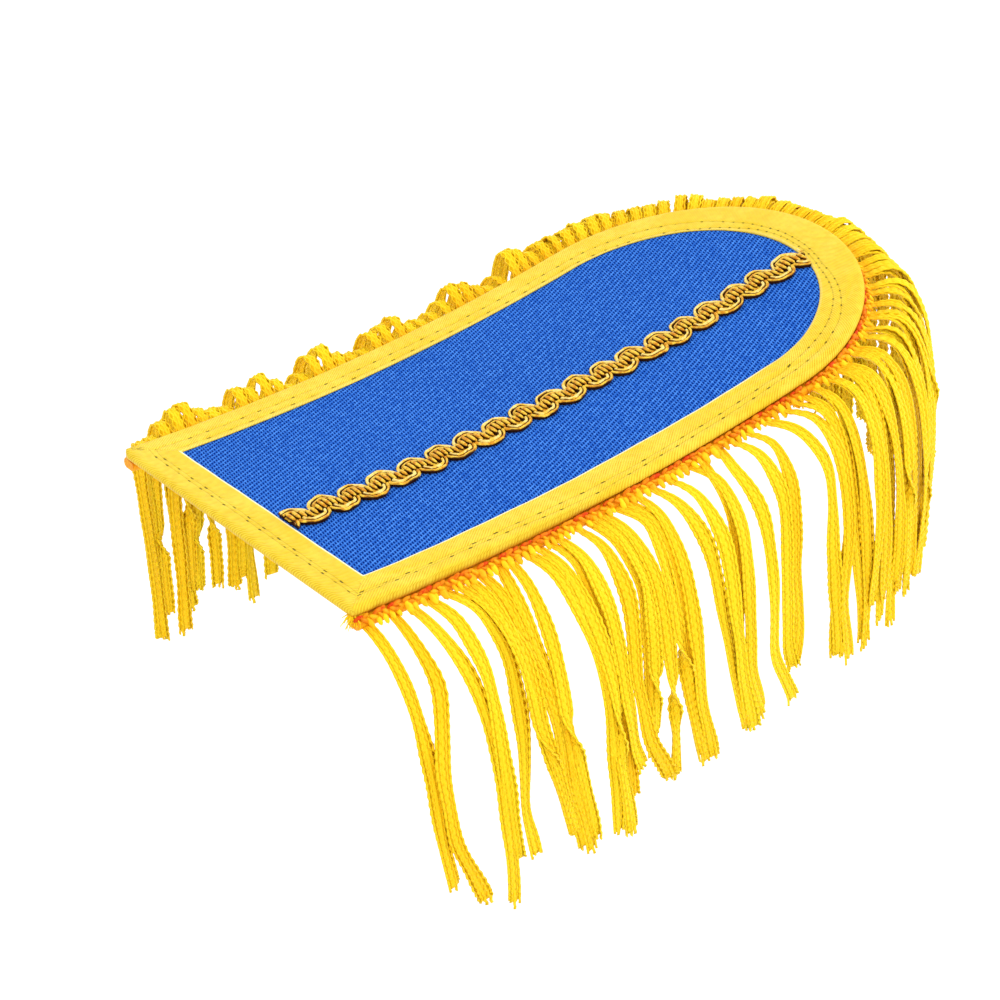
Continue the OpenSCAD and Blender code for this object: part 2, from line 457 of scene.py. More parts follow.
def tape_finish():
    material, tree, shader = finish("yellow_tape", 0.5, specular=0.22, gloss=(1.0, 0.85, 0.3))
    place, along, across, _ = place_on(tree, "lay")
    patches = patchy(tree, place, 9.0)
    cloudy = patchy(tree, place, 1.6)
    turns = calc(tree, "MULTIPLY_ADD", along, RIB_WAY[0] / RIB_PITCH,
                 calc(tree, "MULTIPLY", across, RIB_WAY[1] / RIB_PITCH))
    rib = wave(tree, calc(tree, "MULTIPLY_ADD", cloudy, 0.35, turns))
    body = mix_colours(tree, ramp(tree, patches, 0.3, 0.7), (0.80, 0.58, 0.025), (0.84, 0.66, 0.060))
    depth = ramp(tree, cloudy, 0.3, 0.7, 0.45, 1.0)
    ribbed = mix_colours(tree, calc(tree, "MULTIPLY", rib, depth), body, (0.62, 0.36, 0.006))
    # Painted shade at the needle holes and along both rows; the same mask presses the rows in as relief.
    sewn = calc(tree, "MAXIMUM", needle_row_shade(tree, "row_in"), needle_row_shade(tree, "row_out"))
    colour = mix_colours(tree, sewn, ribbed, (0.13, 0.085, 0.003))
    # Painted highlight along the inner fold: strong on the near side and the square end, faint round the tip
    # and along the far side.
    fold = calc(tree, "ABSOLUTE", calc(tree, "SUBTRACT", across, INNER_FOLD))
    straight = calc(tree, "ADD", ramp(tree, along, 95, 112, 0.85, 0.12), ramp(tree, along, 325, 335, 0.0, 0.73))
    edge = calc(tree, "MULTIPLY", ramp(tree, fold, 0.14, 0.34, 1.0, 0.0), straight)
    # Painted shade: the tape's underside close under the outer fold, where the header tucks in, turns deep
    # red-orange.
    root = calc(tree, "MULTIPLY", ramp(tree, across, -0.5, 0.1, 0.9, 0.0), ramp(tree, across, -2.2, -1.2))
    fold_highlit = mix_colours(tree, edge, colour, (0.95, 0.89, 0.58))
    tree.links.new(mix_colours(tree, root, fold_highlit, (0.60, 0.20, 0.004)), shader.inputs["Base Color"])
    relief = calc(tree, "SUBTRACT", calc(tree, "MULTIPLY", rib, 0.45), calc(tree, "MULTIPLY", sewn, 1.2))
    press(tree, shader, relief, 0.12 * MM)
    return material


yellow_tape = tape_finish()
print("finish:", yellow_tape.name)

# %% [markdown]
# The binding is modelled as it is sewn: a folded strip. A ring of points is set out as
# the strip's section, closed over the board's edge, then extruded along the near side,
# spun round the tip and extruded back along the far side. A second strip makes the
# square end. All three straights run past the corners and are mitred by bisecting
# them on the diagonal, so that their cut rings match and can be merged.

# %% The binding's section and strips
TOP_POINTS = 26
SECTION = [(8.38, 0.10), (8.45, 0.22), (8.40, 0.36), (8.24, 0.44)]
SECTION += [(8.0 - 0.27 * k, 0.50 + 0.06 * math.sin(math.pi * k / TOP_POINTS)) for k in range(TOP_POINTS)]
SECTION += [
    (0.80, 0.42), (0.45, 0.24), (0.18, -0.02), (0.03, -0.32), (0.00, -0.60), (0.05, -0.88),
    (0.20, -1.16), (0.50, -1.42), (1.10, -1.62), (2.20, -1.72), (4.60, -1.80), (8.10, -1.80),
    (8.50, -1.62), (8.40, -1.36), (4.60, -1.29), (1.10, -1.27), (0.66, -0.95), (0.64, -0.60),
    (0.66, -0.20), (1.10, 0.07), (4.60, 0.07),
]
STEP = 1.3 * MM
PAST = 12 * MM


def section_ring(name, place_of):
    """A ring of points, one for each point of the section, put in place by place_of."""
    bpy.ops.mesh.primitive_circle_add(vertices=len(SECTION), radius=MM, fill_type="NOTHING")
    ring = started(name)
    move_points(ring, np.array([place_of(inward * MM, height * MM) for inward, height in SECTION]))
    return ring


def extrude_run(length, way):
    """Extrudes what is selected over a length in steps of about the same size."""
    steps = max(1, round(length / STEP))
    move = tuple(length / steps * axis for axis in way)
    for _ in range(steps):
        bpy.ops.mesh.extrude_edges_move(TRANSFORM_OT_translate={"value": move})


def mitre(piece, side, keep_end):
    """Cuts the half of a strip on one side on the diagonal through that corner."""
    corner = (SQUARE_X, side * WIDTH / 2, 0)
    normal = (1, side, 0) if keep_end else (-1, -side, 0)
    for face in piece.data.polygons:
        face.select = face.center.y * side > 0
    bpy.ops.object.mode_set(mode="EDIT")
    bpy.ops.mesh.bisect(plane_co=corner, plane_no=normal, clear_outer=True)
    bpy.ops.mesh.select_all(action="DESELECT")
    bpy.ops.object.mode_set(mode="OBJECT")


long_strip = section_ring("binding_long", lambda inward, height: (
    SQUARE_X - PAST, -ROUND_R + inward, height))
take(long_strip)
bpy.ops.object.mode_set(mode="EDIT")
bpy.ops.mesh.select_all(action="SELECT")
extrude_run(STRAIGHT_L + PAST, (1, 0, 0))
bpy.ops.mesh.spin(steps=round(ARC_L / STEP), angle=-math.pi, center=(ROUND_X, 0, 0), axis=(0, 0, 1))
extrude_run(STRAIGHT_L + PAST, (-1, 0, 0))
bpy.ops.mesh.select_all(action="DESELECT")
bpy.ops.object.mode_set(mode="OBJECT")
far_end = points_of(long_strip)[:, 1].max()
print(f"the long strip ends at y {far_end / MM:.2f} mm")

end_strip = section_ring("binding_end", lambda inward, height: (
    SQUARE_X + inward, -ROUND_R - PAST, height))
take(end_strip)
bpy.ops.object.mode_set(mode="EDIT")
bpy.ops.mesh.select_all(action="SELECT")
extrude_run(WIDTH + 2 * PAST, (0, 1, 0))
bpy.ops.mesh.select_all(action="DESELECT")
bpy.ops.object.mode_set(mode="OBJECT")

for strip, keep_end in ((long_strip, False), (end_strip, True)):
    take(strip)
    for side in (-1, 1):
        mitre(strip, side, keep_end)
binding = joined("tape_binding", [long_strip, end_strip])
bpy.ops.object.mode_set(mode="EDIT")
bpy.ops.mesh.select_all(action="SELECT")
bpy.ops.mesh.remove_doubles(threshold=0.02 * MM)
bpy.ops.mesh.normals_make_consistent(inside=False)
bpy.ops.object.mode_set(mode="OBJECT")
print("binding box in mm:", (points_of(binding).min(axis=0) / MM).round(1),
      (points_of(binding).max(axis=0) / MM).round(1))


# %% [markdown]
# Sewn tape is never quite even. It sinks in along both rows and puffs up between the
# stitches, the rows drift inwards round the tip and part at the near side, and where
# the tape starts to ease round the curve it lies in two long creases. The UV layers
# are written before the strip is bent, while along and across can still be read off
# the plan.

# %% The tape's unevenness and its UV layer
def along_edge(x, y):
    """Place along the binding in metres: near side, tip, far side, then the square end."""
    turn = np.arctan2(x - ROUND_X, -y)
    near = x - SQUARE_X
    tip = STRAIGHT_L + ROUND_R * turn
    far = STRAIGHT_L + ARC_L + (ROUND_X - x)
    end = RUN_L + ROUND_R - y
    along = np.where(x > ROUND_X, tip, np.where(y < 0, near, far))
    return np.where(x - SQUARE_X < ROUND_R - np.abs(y), end, along)


# Each row: places along the edge, how far the row lies from the outer fold there, and
# the length of a stitch from there on.
ROW_IN = (
    (0, 3.9, 4.85), (34, 3.9, 4.85), (43, 3.65, 4.85), (55, 3.2, 4.85), (68, 3.05, 4.85),
    (101, 4.1, 4.4), (112, 5.4, 2.8), (124, 5.65, 2.6), (134, 6.1, 2.4), (147, 7.4, 2.4),
    (171, 7.3, 2.7), (190, 8.0, 3.2), (218, 7.8, 4.5), (225, 7.4, 4.85), (331, 7.0, 4.85),
    (338, 4.2, 4.85), (407, 4.0, 4.85),
)
ROW_OUT = (
    (0, 3.4, 3.95), (24, 3.25, 3.95), (36, 2.7, 3.95), (44, 2.0, 3.95), (55, 1.3, 3.95),
    (68, 1.8, 3.95), (101, 2.6, 3.6), (125, 3.6, 2.9), (135, 4.8, 2.6), (148, 6.6, 2.5),
    (171, 6.3, 2.7), (190, 5.9, 3.4), (225, 5.2, 3.95), (331, 4.6, 3.95), (338, 3.3, 3.95),
    (407, 3.2, 3.95),
)
# Each crease: where it starts, along and across, where it ends, and its depth.
CREASES = ((99, 1.5, 121, 0.5, 0.34), (97, 5.0, 117, 3.3, 0.30), (86, 6.6, 101, 6.1, 0.12),
           (128, 4.0, 139, 2.4, 0.12), (9, 5.6, 20, 4.6, 0.10))
CORNER_R = 2.2 * MM


def on_row(row, along):
    """How far from the outer fold a row lies at a place, and its stitches up to there."""
    at, off, stitch = (np.array(column, dtype=float) for column in zip(*row))
    count = np.concatenate([[0], np.cumsum(np.diff(at) / stitch[:-1])])
    return np.interp(along, at, off), np.interp(along, at, count)


def write_layer(piece, name, values):
    """A UV layer from one pair of values for each corner of each face."""
    layer = piece.data.uv_layers.new(name=name)
    layer.data.foreach_set("uv", np.ascontiguousarray(values, dtype=np.float32).ravel())


def write_lay(piece):
    """The tape's layers: along and across in millimetres, and its place on both rows."""
    points = points_of(piece)
    inward = inside_edge(points[:, 0], points[:, 1])
    across = np.where(points[:, 2] > -BOARD_T / 2, inward, -inward) / MM
    corner = np.empty(len(piece.data.loops), dtype=int)
    piece.data.loops.foreach_get("vertex_index", corner)
    own = along_edge(points[:, 0], points[:, 1])[corner]
    base = np.repeat(
        [float(along_edge(face.center.x, face.center.y)) for face in piece.data.polygons],
        [len(face.vertices) for face in piece.data.polygons])
    along = np.where(np.abs(own - base) < 5 * STEP, own, base) / MM
    write_layer(piece, "lay", np.stack([along, across[corner]], -1))
    for name, row in (("row_in", ROW_IN), ("row_out", ROW_OUT)):
        off, count = on_row(row, along)
        write_layer(piece, name, np.stack([across[corner] - off, count], -1))


def ease_tape(piece):
    """Grooves at both rows, puffs between stitches, creases and the inner fold's run."""
    points = points_of(piece)
    along = along_edge(points[:, 0], points[:, 1]) / MM
    inward = inside_edge(points[:, 0], points[:, 1]) / MM
    top = points[:, 2] > 0.3 * MM
    puff = 0.03 * np.sin(along * 0.61 + inward) + 0.05 * np.sin(along * 0.19 + 1.0)
    for row in (ROW_IN, ROW_OUT):
        off, count = on_row(row, along)
        pull = 0.13 + 0.07 * np.cos(2 * np.pi * count)
        puff -= pull * np.exp(-((inward - off) / 0.32) ** 2)
    for start, start_in, end, end_in, depth in CREASES:
        share = np.clip((along - start) / (end - start), 0, 1)
        line = start_in + (end_in - start_in) * share
        fade = np.clip(np.minimum(along - start, end - along) / 4 + 0.3, 0, 1) * depth
        puff -= fade * np.exp(-((inward - line) / 0.30) ** 2)
        puff += 0.5 * fade * np.exp(-((inward - line - 0.8) / 0.45) ** 2)
    points[:, 2] += np.where(top, puff * MM, 0)
    tip = np.clip(np.minimum(along - 106, 225 - along) / 20, 0, 1)
    drawn_in = np.clip(np.minimum(along / 6, (64 - along) / 14), 0, 1)
    shift = (0.5 * tip - 0.15) * np.clip((inward - 6) / 2, 0, 1) * MM
    shift += 0.55 * drawn_in * np.clip((0.6 - inward) / 0.5, 0, 1) * MM
    step = 0.01 * MM
    slope_x = inside_edge(points[:, 0] + step, points[:, 1]) - inside_edge(points[:, 0] - step, points[:, 1])
    slope_y = inside_edge(points[:, 0], points[:, 1] + step) - inside_edge(points[:, 0], points[:, 1] - step)
    points[:, 0] += shift * slope_x / (2 * step)
    points[:, 1] += shift * slope_y / (2 * step)
    round_corners(points)
    move_points(piece, points)


def round_corners(points):
    """Draws the square end's two sharp corners in to a round."""
    side = np.sign(points[:, 1])
    back = CORNER_R - (points[:, 0] - SQUARE_X)
    over = CORNER_R - (ROUND_R - np.abs(points[:, 1]))
    reach = np.hypot(back, over)
    outside = (back > 0) & (over > 0) & (reach > CORNER_R)
    share = np.where(outside, CORNER_R / np.maximum(reach, CORNER_R), 1)
    points[:, 0] += np.where(outside, back * (1 - share), 0)
    points[:, 1] -= np.where(outside, side * over * (1 - share), 0)


write_lay(binding)
ease_tape(binding)
lay_on_bend(binding)
smooth(binding, math.radians(70))
finish_piece(binding, yellow_tape)
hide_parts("binding")

# %% [markdown]
# The braid is a scroll gimp: two cords thrown up in round arches on the far edge, the
# outer one pale, two that hang in garlands on the near edge, half a repeat along, and a
# row of upright threads over the middle. Half a ring makes an arch, so each cord
# starts as a torus that is bisected and drawn out. One repeat is built this way, arrayed
# along the board and cut off under the tape. A thin dark backing of painted shade closes
# the gaps, because the real braid shows no blue between its cords, only shade.

# %% The gold finishes
def facing_up(tree):
    """1 where the surface faces up, down to 0 where it faces sideways or down; it places the gold's painted
    shade.
    """
    split = tree.nodes.new("ShaderNodeSeparateXYZ")
    tree.links.new(tree.nodes.new("ShaderNodeNewGeometry").outputs["Normal"], split.inputs[0])
    return ramp(tree, split.outputs[2], 0.05, 0.7)


def gold_finish(name, light, dark, flank):
    """Wound thread in two colours mixed in patches, with painted shade on its flanks and, a little, along the
    lines of its winding.
    """
    material, tree, shader = finish(name, 0.4, specular=0.35, gloss=(1.0, 0.75, 0.2))
    place, x, y, z = place_on(tree)
    twist = calc(tree, "MULTIPLY_ADD", x, 2.1 / MM, calc(tree, "MULTIPLY", y, 1.6 / MM))
    strand = wave(tree, calc(tree, "ADD", twist, patchy(tree, place, 0.8 * MM)))
    patches = ramp(tree, patchy(tree, place, 1.0 * MM), 0.42, 0.62)
    body = mix_colours(tree, patches, light, dark)
    # Painted shade: a quarter of the way to the flank's colour along the winding, and all of it where the
    # surface turns sideways or down.
    wound = mix_colours(tree, calc(tree, "MULTIPLY", strand, 0.25), body, flank)
    colour = mix_colours(tree, facing_up(tree), flank, wound)
    tree.links.new(colour, shader.inputs["Base Color"])
    press(tree, shader, strand, 0.05 * MM)
    return material


# The last colour of each gold is its painted shade on the flanks.
gimp_pale = gold_finish("gimp_pale", (0.98, 0.80, 0.26), (0.92, 0.58, 0.06), (0.16, 0.036, 0.002))
gimp_gold = gold_finish("gimp_gold", (0.95, 0.62, 0.06), (0.70, 0.28, 0.012), (0.055, 0.008, 0.001))
# The backing's finish is painted shade, near black in all its colours.
gimp_shade_sheet = gold_finish("gimp_shade_sheet", (0.05, 0.009, 0.001), (0.03, 0.005, 0.001), (0.02, 0.004, 0.001))

# %% One repeat of the braid and its row
GIMP_PITCH = 6.68 * MM
GIMP_START = -35.3 * MM - 5 * GIMP_PITCH
GIMP_MIDDLE = -6.4 * MM
DRIFT_AT = (10, 25, 50, 60, 64)
DRIFT = (0.0, -0.9, -1.2, -2.3, -2.5)
# Cords: the side they arch to, their middle along the repeat, how wide and how tall
# they are, how thick, how high they lie, and how far off the middle line they start.
PALE_CORDS = ((1, 0.0, 2.92, 3.00, 0.32, 0.80, 0.70), (-1, 3.34, 2.20, 1.60, 0.34, 0.95, 0.90))
GOLD_CORDS = ((1, 0.0, 2.10, 2.10, 0.28, 0.74, 0.70), (-1, 3.34, 3.05, 2.35, 0.32, 0.78, 0.85))
# Mounds: their middle along and across, how wide, tall and thick they are, and how high
# they rise. The first two are low domes, the others the upright threads.
MOUNDS = ((0.0, 1.20, 1.60, 1.30, 0.45, 0.72), (3.34, -1.00, 1.50, 1.20, 0.45, 0.80),
          (-2.78, 0.00, 0.40, 1.45, 0.48, 1.42), (-1.67, 0.45, 0.42, 1.60, 0.50, 1.50),
          (-0.56, 0.75, 0.42, 1.70, 0.50, 1.55), (0.56, 0.70, 0.42, 1.70, 0.50, 1.53),
          (1.67, 0.35, 0.42, 1.55, 0.50, 1.50), (2.78, -0.15, 0.40, 1.45, 0.48, 1.42))


def half_ring(side, centre, wide, tall, thick, high, start):
    """One cord of an arch: a torus cut in half and drawn out to its width and height."""
    bpy.ops.mesh.primitive_torus_add(
        major_segments=24, minor_segments=6, major_radius=wide * MM, minor_radius=thick * MM,
        location=(centre * MM, 0, high * MM))
    cord = started("cord")
    bpy.ops.object.mode_set(mode="EDIT")
    bpy.ops.mesh.select_all(action="SELECT")
    bpy.ops.mesh.bisect(plane_co=(0, 0, 0), plane_no=(0, -side, 0), clear_outer=True, use_fill=True)
    bpy.ops.mesh.select_all(action="SELECT")
    bpy.ops.object.mode_set(mode="OBJECT")
    points = points_of(cord)
    points[:, 1] *= 1 + (tall - wide) * MM / np.hypot(points[:, 0] - centre * MM, points[:, 1])
    points[:, 1] += side * start * MM
    points[:, 2] += 0.10 * MM * np.sin(points[:, 0] / MM * 2.1)
    move_points(cord, points)
    return cord


def mound(along, across, wide, tall, thick, high):
    """A low dome inside an arch, or one of the upright threads that lie over the cords."""
    bpy.ops.mesh.primitive_uv_sphere_add(
        segments=10, ring_count=6, radius=MM,
        location=(along * MM, across * MM, (high - thick) * MM), scale=(wide, tall, thick))
    return started("mound")


def backing(side, centre, wide, tall):
    """A dark sheet of painted shade behind one arch."""
    bpy.ops.mesh.primitive_cylinder_add(
        vertices=24, radius=MM, depth=0.30 * MM, location=(centre * MM, 0, 0.33 * MM),
        scale=(wide, tall, 1))
    ground = started("ground")
    bpy.ops.object.mode_set(mode="EDIT")
    bpy.ops.mesh.select_all(action="SELECT")
    bpy.ops.mesh.bisect(plane_co=(0, 0, 0), plane_no=(0, -side, 0), clear_outer=True, use_fill=True)
    bpy.ops.object.mode_set(mode="OBJECT")
    return ground


def gimp_row(name, patterns):
    """A repeat arrayed along the board, shaken a little out of line and cut under the tape."""
    count = math.ceil((LENGTH - TAPE_W) / GIMP_PITCH) + 1
    row = arrayed(joined(name, patterns), count, (GIMP_PITCH, 0, 0))
    points = points_of(row)
    points[:, 0] += GIMP_START
    place = points[:, 0] / MM
    points[:, 1] *= 1 + 0.04 * np.sin(place * 0.55) + 0.03 * np.sin(place * 1.37)
    points[:, 1] += GIMP_MIDDLE + MM * (np.interp(place, DRIFT_AT, DRIFT) + 0.12 * np.sin(place * 0.43))
    points[:, 0] += 0.18 * MM * np.sin(place * 0.31)
    move_points(row, points)
    trim_to_tongue(row, TAPE_W + 0.2 * MM, closed=True)
    return row


def lay_braid(name, patterns, material):
    """One of the braid's layers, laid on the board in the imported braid's stead."""
    row = gimp_row(name, patterns)
    lay_on_bend(row)
    smooth(row)
    finish_piece(row, material)
    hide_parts("gimp_braid")


lay_braid("gimp_cords", [half_ring(*cord) for cord in PALE_CORDS], gimp_pale)
lay_braid("gimp_threads", [half_ring(*cord) for cord in GOLD_CORDS] + [mound(*each) for each in MOUNDS],
          gimp_gold)
lay_braid("gimp_shade_ground", [backing(1, 0, 3.1, 3.85), backing(-1, 3.34, 3.3, 3.35)], gimp_shade_sheet)

# %% [markdown]
# The fringe is knitted yarn, a flat ribbon of tight loops that a maker calls chainette.
# It hangs from the header in an arch and turns down. A strip with a pattern on it
# would lose the loops and the light between them, so the ribbon is modelled as five
# zigzag yarns that cross, the outer two straighter, which gives the smooth edges and
# the tiny holes, over a thin core that stands for the yarn's fuzzy inside. One wave of
# one yarn is extruded, arrayed to the length of a strand and copied side by side.
# Every strand is then this ribbon, laid along a curve.

# %% The knitted ribbon
RIBBON_W = 3.2 * MM
RIBBON_L = 60 * MM
YARNS = 5
LOOPS = 34
YARN_R = 0.34 * MM
LOOP_L = RIBBON_L / LOOPS
YARN_GAP = (RIBBON_W - 2 * YARN_R) / (YARNS - 1)
SWING = 0.27
EDGE_SWING = 0.4
CORE_W = 2.7 * MM
CORE_T = 0.30 * MM
CORE_STEPS = 58


def thread_of(corners, moves, repeats):
    """A ring extruded through some moves, repeated along x and closed at both ends."""
    bpy.ops.mesh.primitive_circle_add(
        vertices=corners, radius=YARN_R, fill_type="NOTHING", rotation=(0, math.pi / 2, 0))
    thread = started("thread")
    bpy.ops.object.mode_set(mode="EDIT")
    bpy.ops.mesh.select_all(action="SELECT")
    for move in moves:
        bpy.ops.mesh.extrude_edges_move(TRANSFORM_OT_translate={"value": move})
    bpy.ops.object.mode_set(mode="OBJECT")
    arrayed(thread, repeats, (sum(move[0] for move in moves), 0, 0))
    bpy.ops.object.mode_set(mode="EDIT")
    bpy.ops.mesh.select_all(action="SELECT")
    bpy.ops.mesh.fill_holes(sides=corners)
    bpy.ops.mesh.normals_make_consistent(inside=False)
    bpy.ops.object.mode_set(mode="OBJECT")
    points = points_of(thread)
    faces = [tuple(face.vertices) for face in thread.data.polygons]
    bpy.data.objects.remove(thread)
    return points, faces


def knitted_ribbon():
    """The ribbon's points, which yarn each belongs to (the core comes last), and its faces."""
    quarter = (LOOP_L / 4, SWING * YARN_GAP, 0.11 * MM)
    back = (LOOP_L / 4, -quarter[1], -quarter[2])
    yarn, yarn_faces = thread_of(3, (quarter, back, back, quarter), LOOPS)
    core, core_faces = thread_of(4, ((RIBBON_L / CORE_STEPS, 0, 0),), CORE_STEPS)
    parts = []
    faces = []
    for k in range(YARNS):
        turned = yarn * ((1, 1, 1) if k % 2 else (1, -1, -1))
        if k in (0, YARNS - 1):
            turned = turned * (1, (YARN_R + EDGE_SWING * quarter[1]) / (YARN_R + quarter[1]), 1)
        parts.append(turned + (0, (k - (YARNS - 1) / 2) * YARN_GAP, 0))
        faces += [tuple(v + k * len(yarn) for v in face) for face in yarn_faces]
    parts.append(core * (1, CORE_W / 2 / YARN_R, CORE_T / 2 / YARN_R))
    faces += [tuple(v + YARNS * len(yarn) for v in face) for face in core_faces]
    number = np.repeat(np.arange(YARNS + 1), [len(part) for part in parts])
    return np.concatenate(parts), number, faces


ribbon, yarn_number, ribbon_faces = knitted_ribbon()
print("ribbon:", len(ribbon), "points,", len(ribbon_faces), "faces")

# %% [markdown]
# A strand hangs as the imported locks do: out from the header, up a little, then down,
# along the same table of shares. A point of the curtain is found from two numbers,
# how far along the edge it is and how far down the lock, and a third pushes it off
# the curtain's face, so that strands can cross without meeting.

# %% The curtain that the strands hang in
FRINGE_DROP = 54 * MM
FRINGE_REACH = 22 * MM
ROOT_IN = 0.6 * MM
HEADER_TOP = BOARD_T + TAPE_T + 2 * SEAM
ROOT_H = HEADER_TOP + 0.58 * 2 * MM
PEAK = 0.25
HANG_AT = (0.00, 0.10, 0.18, 0.26, 0.33, 0.42, 0.60, 0.72, 1.00)
REACH = (0.96, 1.00, 0.92, 0.78, 0.70, 0.70, 0.70, 0.66, 0.62)
LEAN = (0.28, 0.24, 0.18, 0.10, 0.02, 0.00, 0.00, 0.00, 0.00)
LIFT = (0.02, 0.02, 0.04, 0.07, 0.13, 0.22, 0.30, 0.32, 0.29)
DROP = (0.96, 0.98, 0.92, 1.00, 0.97, 1.00, 0.97, 0.95, 0.93)
ARCH = (2.0, 2.1, 2.3, 2.7, 3.2, 3.6, 3.6, 3.4, 3.4)


def edge_frame(s):
    """Plan place of the edge at s and the direction outwards there."""
    turn = np.clip((s - STRAIGHT_L) / ROUND_R, 0, math.pi)
    out = np.stack([np.sin(turn), -np.cos(turn)], -1)
    before = np.minimum(s - STRAIGHT_L, 0)
    after = np.maximum(s - STRAIGHT_L - ARC_L, 0)
    place = np.stack([ROUND_X + ROUND_R * out[..., 0] + before - after, ROUND_R * out[..., 1]], -1)
    return place, out


def curtain(s, t, off=0.0, arched=1.0):
    """The point at place s along the edge and share t down a lock.

    off pushes it off the curtain's face, and arched is how high this strand rises
    before it turns down, as a share of the table's lift.
    """
    share = np.clip(s / RUN_L, 0, 1)
    reach, lean, lift, drop, arch = (
        np.interp(share, HANG_AT, column) for column in (REACH, LEAN, LIFT, DROP, ARCH))
    rest = np.clip(1 - t, 0, 1)
    outward = FRINGE_REACH * reach * (1 - rest ** arch) - ROOT_IN + off
    rise = FRINGE_REACH * lift * arched * (t / PEAK) ** 2 * (rest / (1 - PEAK)) ** 6
    fall = FRINGE_DROP * drop * t ** 1.6
    along = FRINGE_REACH * lean * t ** 1.3
    place, out = edge_frame(s)
    plan = place + outward[..., None] * out + along[..., None] * np.stack([-out[..., 1], out[..., 0]], -1)
    high = bent_z(place[..., 0], -ROOT_H) + rise - fall
    return np.concatenate([plan, high[..., None]], -1)


print("a lock at the near corner ends at", (curtain(np.array(0.0), np.array(1.0)) / MM).round(1))


# %% Laying the ribbon along a strand's curve
STATIONS = 90
COURSE_AT = (0.0, 0.15, 0.35, 0.6, 0.8)
FLIP_SHARE = 0.25
FLIP_L = 0.22


def lay_ribbon(places, ends_at, wide, off, twist, ragged, dice, arched=1.0, waist=0.6):
    """The ribbon's points laid down the curtain, and their UV.

    places are millimetres along the edge at the shares of COURSE_AT and at the end, off
    pushes it off the curtain, wide is the width that shows, twist turns it, and waist is
    its width at the root as a share. Some ribbons flip over once on their way, which
    shows as a pinch.
    """
    q = np.linspace(0, 1, STATIONS)
    t = q * ends_at
    s = np.interp(t, (*COURSE_AT, max(ends_at, COURSE_AT[-1] + 0.04)), places)
    soft = np.hanning(17)[1:-1]
    s = np.convolve(np.pad(s, 7, "edge"), soft / soft.sum(), "valid") * MM
    belly = np.sin(np.pi * np.clip(q, 0, 1)) ** 0.7
    line = curtain(s, t, off * belly * np.clip(q * 2.5, 0, 1), arched)
    step = np.linalg.norm(np.diff(line, axis=0), axis=1)
    run = np.concatenate([[0], np.cumsum(step)])
    tangent = np.gradient(line, axis=0)
    tangent /= np.linalg.norm(tangent, axis=1)[:, None]
    _, out = edge_frame(s)
    side = np.stack([-out[:, 1], out[:, 0], np.zeros(STATIONS)], -1)
    side -= (side * tangent).sum(1)[:, None] * tangent
    side /= np.linalg.norm(side, axis=1)[:, None]
    face = np.cross(side, tangent)
    share = ribbon[:, 0] / RIBBON_L
    cut = np.append(dice.uniform(0.4, 1.0, YARNS), 0.6)[yarn_number]
    share = np.minimum(share, 0.94) + np.maximum(share - 0.94, 0) * cut
    at = np.interp(share * run[-1], run, np.arange(STATIONS))

    def between(rows):
        low = np.clip(at.astype(int), 0, STATIONS - 2)
        part = (at - low)[:, None]
        return rows[low] * (1 - part) + rows[low + 1] * part

    turned = math.acos(min(1, wide / RIBBON_W)) * dice.choice((-1, 1))
    turned = turned * np.clip(share / 0.15, 0, 1)
    angle = turned + twist * (share - 0.3) + 0.2 * np.sin(share * 9 + dice.uniform(0, 6))
    flips = dice.uniform(0, 1) < FLIP_SHARE
    flip = np.clip((share - dice.uniform(0.3, 0.7)) / FLIP_L, 0, 1)
    angle += math.pi * flips * flip * flip * (3 - 2 * flip)
    across = ribbon[:, 1].copy()
    depth = ribbon[:, 2].copy()
    fan = np.append(dice.uniform(-1, 1, YARNS), 0)[yarn_number]
    tuft = np.append(dice.uniform(-1, 1, YARNS), 0)[yarn_number]
    loose = np.clip((share - 0.90) / 0.10, 0, 1) ** 2
    root = np.clip(share / 0.24, 0, 1)
    across *= waist + (1 - waist) * root * root * (3 - 2 * root)
    across *= 1 + 0.10 * np.sin(share * 11 + dice.uniform(0, 6)) + 0.05 * np.sin(share * 29)
    across += fan * loose * ragged
    depth += tuft * loose * ragged
    moved = between(line)
    moved += (across * np.cos(angle) - depth * np.sin(angle))[:, None] * between(side)
    moved += (across * np.sin(angle) + depth * np.cos(angle))[:, None] * between(face)
    # The tone is random, then deeper for strands pushed in and lighter for those pushed out: painted shade and
    # light. The core gets a deeper tone.
    tone = dice.uniform(0.1, 0.7) - 0.2 * off / MM + 0.3 * (yarn_number == YARNS)
    return moved, np.stack([share, tone], -1)


def hang_strands(name, strands, node):
    """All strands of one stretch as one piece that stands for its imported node."""
    points = np.concatenate([each[0] for each in strands])
    uv = np.concatenate([each[1] for each in strands])
    mesh = bpy.data.meshes.new(name)
    mesh.from_pydata(points.tolist(), [], [
        tuple(v + k * len(ribbon) for v in face)
        for k in range(len(strands)) for face in ribbon_faces])
    layer = mesh.uv_layers.new(name="lay")
    corner = np.empty(len(mesh.loops), dtype=int)
    mesh.loops.foreach_get("vertex_index", corner)
    layer.data.foreach_set("uv", uv[corner].astype(np.float32).ravel())
    piece = bpy.data.objects.new(name, mesh)
    bpy.context.scene.collection.objects.link(piece)
    smooth(piece, math.radians(180))
    finish_piece(piece, fringe_yarn)
    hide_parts(node)
    return piece


# %% [markdown]
# Knitted yarn is bright where light falls on it and turns orange where strands shade
# and light each other. Light scattered under the surface is left out: on yarn this thin
# it loses red and turns the fringe green. So the finish is a plain clear yellow, with a
# tone of its own for each strand from the UV layer, deeper as painted shade for strands
# that hang further in, and a deeper orange at the root that is painted shade where the
# strands crowd under the header.

